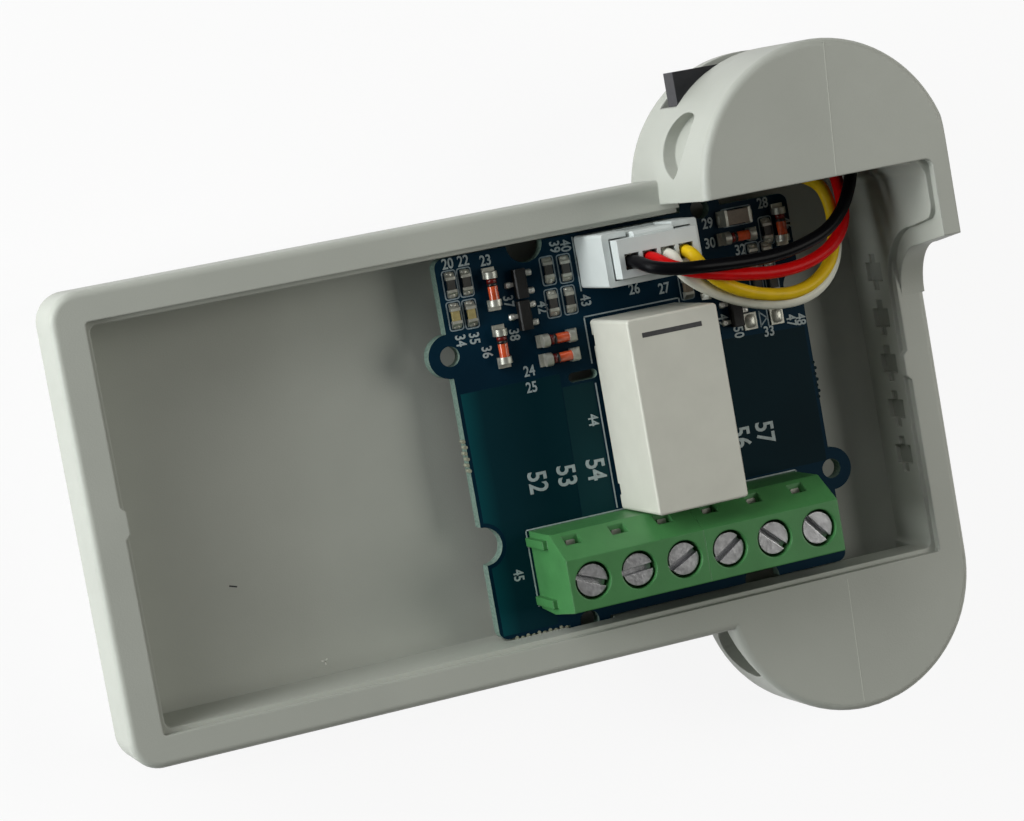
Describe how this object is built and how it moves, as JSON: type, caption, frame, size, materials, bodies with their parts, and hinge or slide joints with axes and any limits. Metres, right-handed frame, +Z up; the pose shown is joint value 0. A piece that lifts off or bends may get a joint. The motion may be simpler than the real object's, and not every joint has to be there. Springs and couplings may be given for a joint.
{
  "type": "logic relay module",
  "caption": "Relay board with screw terminals, a plugged wire lead and small surface parts, lying in an open moulded tray with half-round lobes.",
  "frame": {"origin": "under the centre of the bounding box, on the underside that the tray lies on", "axes": "+X along the tray from the empty bay to the board, +Y to the raised lobe with the socket, +Z up out of the open tray"},
  "size_m": [0.093, 0.071, 0.0224],
  "materials": {
    "housing_plastic": "fine satin moulded, light greenish grey",
    "board_laminate": "glossy dark blue solder mask",
    "relay_case": "satin off-white",
    "relay_plastic": "matte",
    "copper_winding": "lacquered copper wire",
    "bright_steel": "zinc plated",
    "magnet_ferrite": "dull dark grey",
    "contact_metal": "spring bronze",
    "terminal_plastic": "satin green",
    "connector_plastic": "milky white nylon",
    "socket_plastic": "matte black",
    "wire_black": "satin black sleeve",
    "wire_red": "satin red sleeve",
    "wire_white": "satin white sleeve",
    "wire_yellow": "satin yellow sleeve",
    "chip_black": "matte black",
    "chip_ceramic": "tan ceramic",
    "led_resin": "pale yellowish resin",
    "diode_glass": "orange glass",
    "solder": "bright tinned"
  },
  "bodies": {
    "module": {"housing_shell": "housing_plastic", "circuit_board": "board_laminate", "relay_cover": "relay_case", "relay_base": "relay_plastic", "relay_pins": "solder", "relay_coil": "copper_winding", "relay_bobbin": "relay_plastic", "relay_core": "bright_steel", "relay_magnet": "magnet_ferrite", "fixed_contacts": "contact_metal", "terminal_housing_left": "terminal_plastic", "terminal_housing_right": "terminal_plastic", "terminal_pins": "solder", "header_shroud": "connector_plastic", "header_pins": "solder", "socket_housing": "socket_plastic", "socket_contacts": "contact_metal", "wire_black": "wire_black", "wire_red": "wire_red", "wire_white": "wire_white", "wire_yellow": "wire_yellow", "chip_resistors": "chip_black", "indicator_leds": "led_resin", "chip_capacitors": "chip_ceramic", "chip_ends": "solder", "diode_tubes": "diode_glass", "diode_caps": "solder", "transistor_bodies": "chip_black", "transistor_leads": "solder", "bare_pads": "solder", "solder_joints": "solder"},
    "plug": {"plug_housing": "connector_plastic", "plug_contacts": "solder"},
    "armature": {"relay_armature": "bright_steel", "armature_carrier": "relay_plastic", "moving_contacts": "contact_metal"},
    "screw_1": {"terminal_screw_1": "bright_steel"},
    "screw_2": {"terminal_screw_2": "bright_steel"},
    "screw_3": {"terminal_screw_3": "bright_steel"},
    "screw_4": {"terminal_screw_4": "bright_steel"},
    "screw_5": {"terminal_screw_5": "bright_steel"},
    "screw_6": {"terminal_screw_6": "bright_steel"},
    "clamp_1": {"terminal_clamp_1": "bright_steel"},
    "clamp_2": {"terminal_clamp_2": "bright_steel"},
    "clamp_3": {"terminal_clamp_3": "bright_steel"},
    "clamp_4": {"terminal_clamp_4": "bright_steel"},
    "clamp_5": {"terminal_clamp_5": "bright_steel"},
    "clamp_6": {"terminal_clamp_6": "bright_steel"}
  },
  "joints": [
    {"name": "plug_pull", "type": "slide", "parent": "module", "child": "plug", "axis": [0, 0, 1], "range_m": [0, 0.008], "deforming": ["wire_black", "wire_red", "wire_white", "wire_yellow"]},
    {"name": "armature_rock", "type": "hinge", "parent": "module", "child": "armature", "pos_m": [0.0147, 0.0008, 0.01425], "axis": [1, 0, 0], "range_deg": [0, 4]},
    {"name": "screw_1_turn", "type": "hinge", "parent": "module", "child": "screw_1", "pos_m": [0.0018, -0.0143, 0.014], "axis": [0, 0, 1], "range_deg": [-1200, 0]},
    {"name": "screw_2_turn", "type": "hinge", "parent": "module", "child": "screw_2", "pos_m": [0.00688, -0.0143, 0.014], "axis": [0, 0, 1], "range_deg": [-1200, 0]},
    {"name": "screw_3_turn", "type": "hinge", "parent": "module", "child": "screw_3", "pos_m": [0.01196, -0.0143, 0.014], "axis": [0, 0, 1], "range_deg": [-1200, 0]},
    {"name": "screw_4_turn", "type": "hinge", "parent": "module", "child": "screw_4", "pos_m": [0.01704, -0.0143, 0.014], "axis": [0, 0, 1], "range_deg": [-1200, 0]},
    {"name": "screw_5_turn", "type": "hinge", "parent": "module", "child": "screw_5", "pos_m": [0.02212, -0.0143, 0.014], "axis": [0, 0, 1], "range_deg": [-1200, 0]},
    {"name": "screw_6_turn", "type": "hinge", "parent": "module", "child": "screw_6", "pos_m": [0.0272, -0.0143, 0.014], "axis": [0, 0, 1], "range_deg": [-1200, 0]},
    {"name": "clamp_1_lift", "type": "slide", "parent": "module", "child": "clamp_1", "axis": [0, 0, 1], "range_m": [0, 0.0015]},
    {"name": "clamp_2_lift", "type": "slide", "parent": "module", "child": "clamp_2", "axis": [0, 0, 1], "range_m": [0, 0.0015]},
    {"name": "clamp_3_lift", "type": "slide", "parent": "module", "child": "clamp_3", "axis": [0, 0, 1], "range_m": [0, 0.0015]},
    {"name": "clamp_4_lift", "type": "slide", "parent": "module", "child": "clamp_4", "axis": [0, 0, 1], "range_m": [0, 0.0015]},
    {"name": "clamp_5_lift", "type": "slide", "parent": "module", "child": "clamp_5", "axis": [0, 0, 1], "range_m": [0, 0.0015]},
    {"name": "clamp_6_lift", "type": "slide", "parent": "module", "child": "clamp_6", "axis": [0, 0, 1], "range_m": [0, 0.0015]}
  ],
  "couplings": [
    {"joint": "screw_1_turn", "follows": "clamp_1_lift", "rad_per_m": -13960},
    {"joint": "screw_2_turn", "follows": "clamp_2_lift", "rad_per_m": -13960},
    {"joint": "screw_3_turn", "follows": "clamp_3_lift", "rad_per_m": -13960},
    {"joint": "screw_4_turn", "follows": "clamp_4_lift", "rad_per_m": -13960},
    {"joint": "screw_5_turn", "follows": "clamp_5_lift", "rad_per_m": -13960},
    {"joint": "screw_6_turn", "follows": "clamp_6_lift", "rad_per_m": -13960}
  ]
}
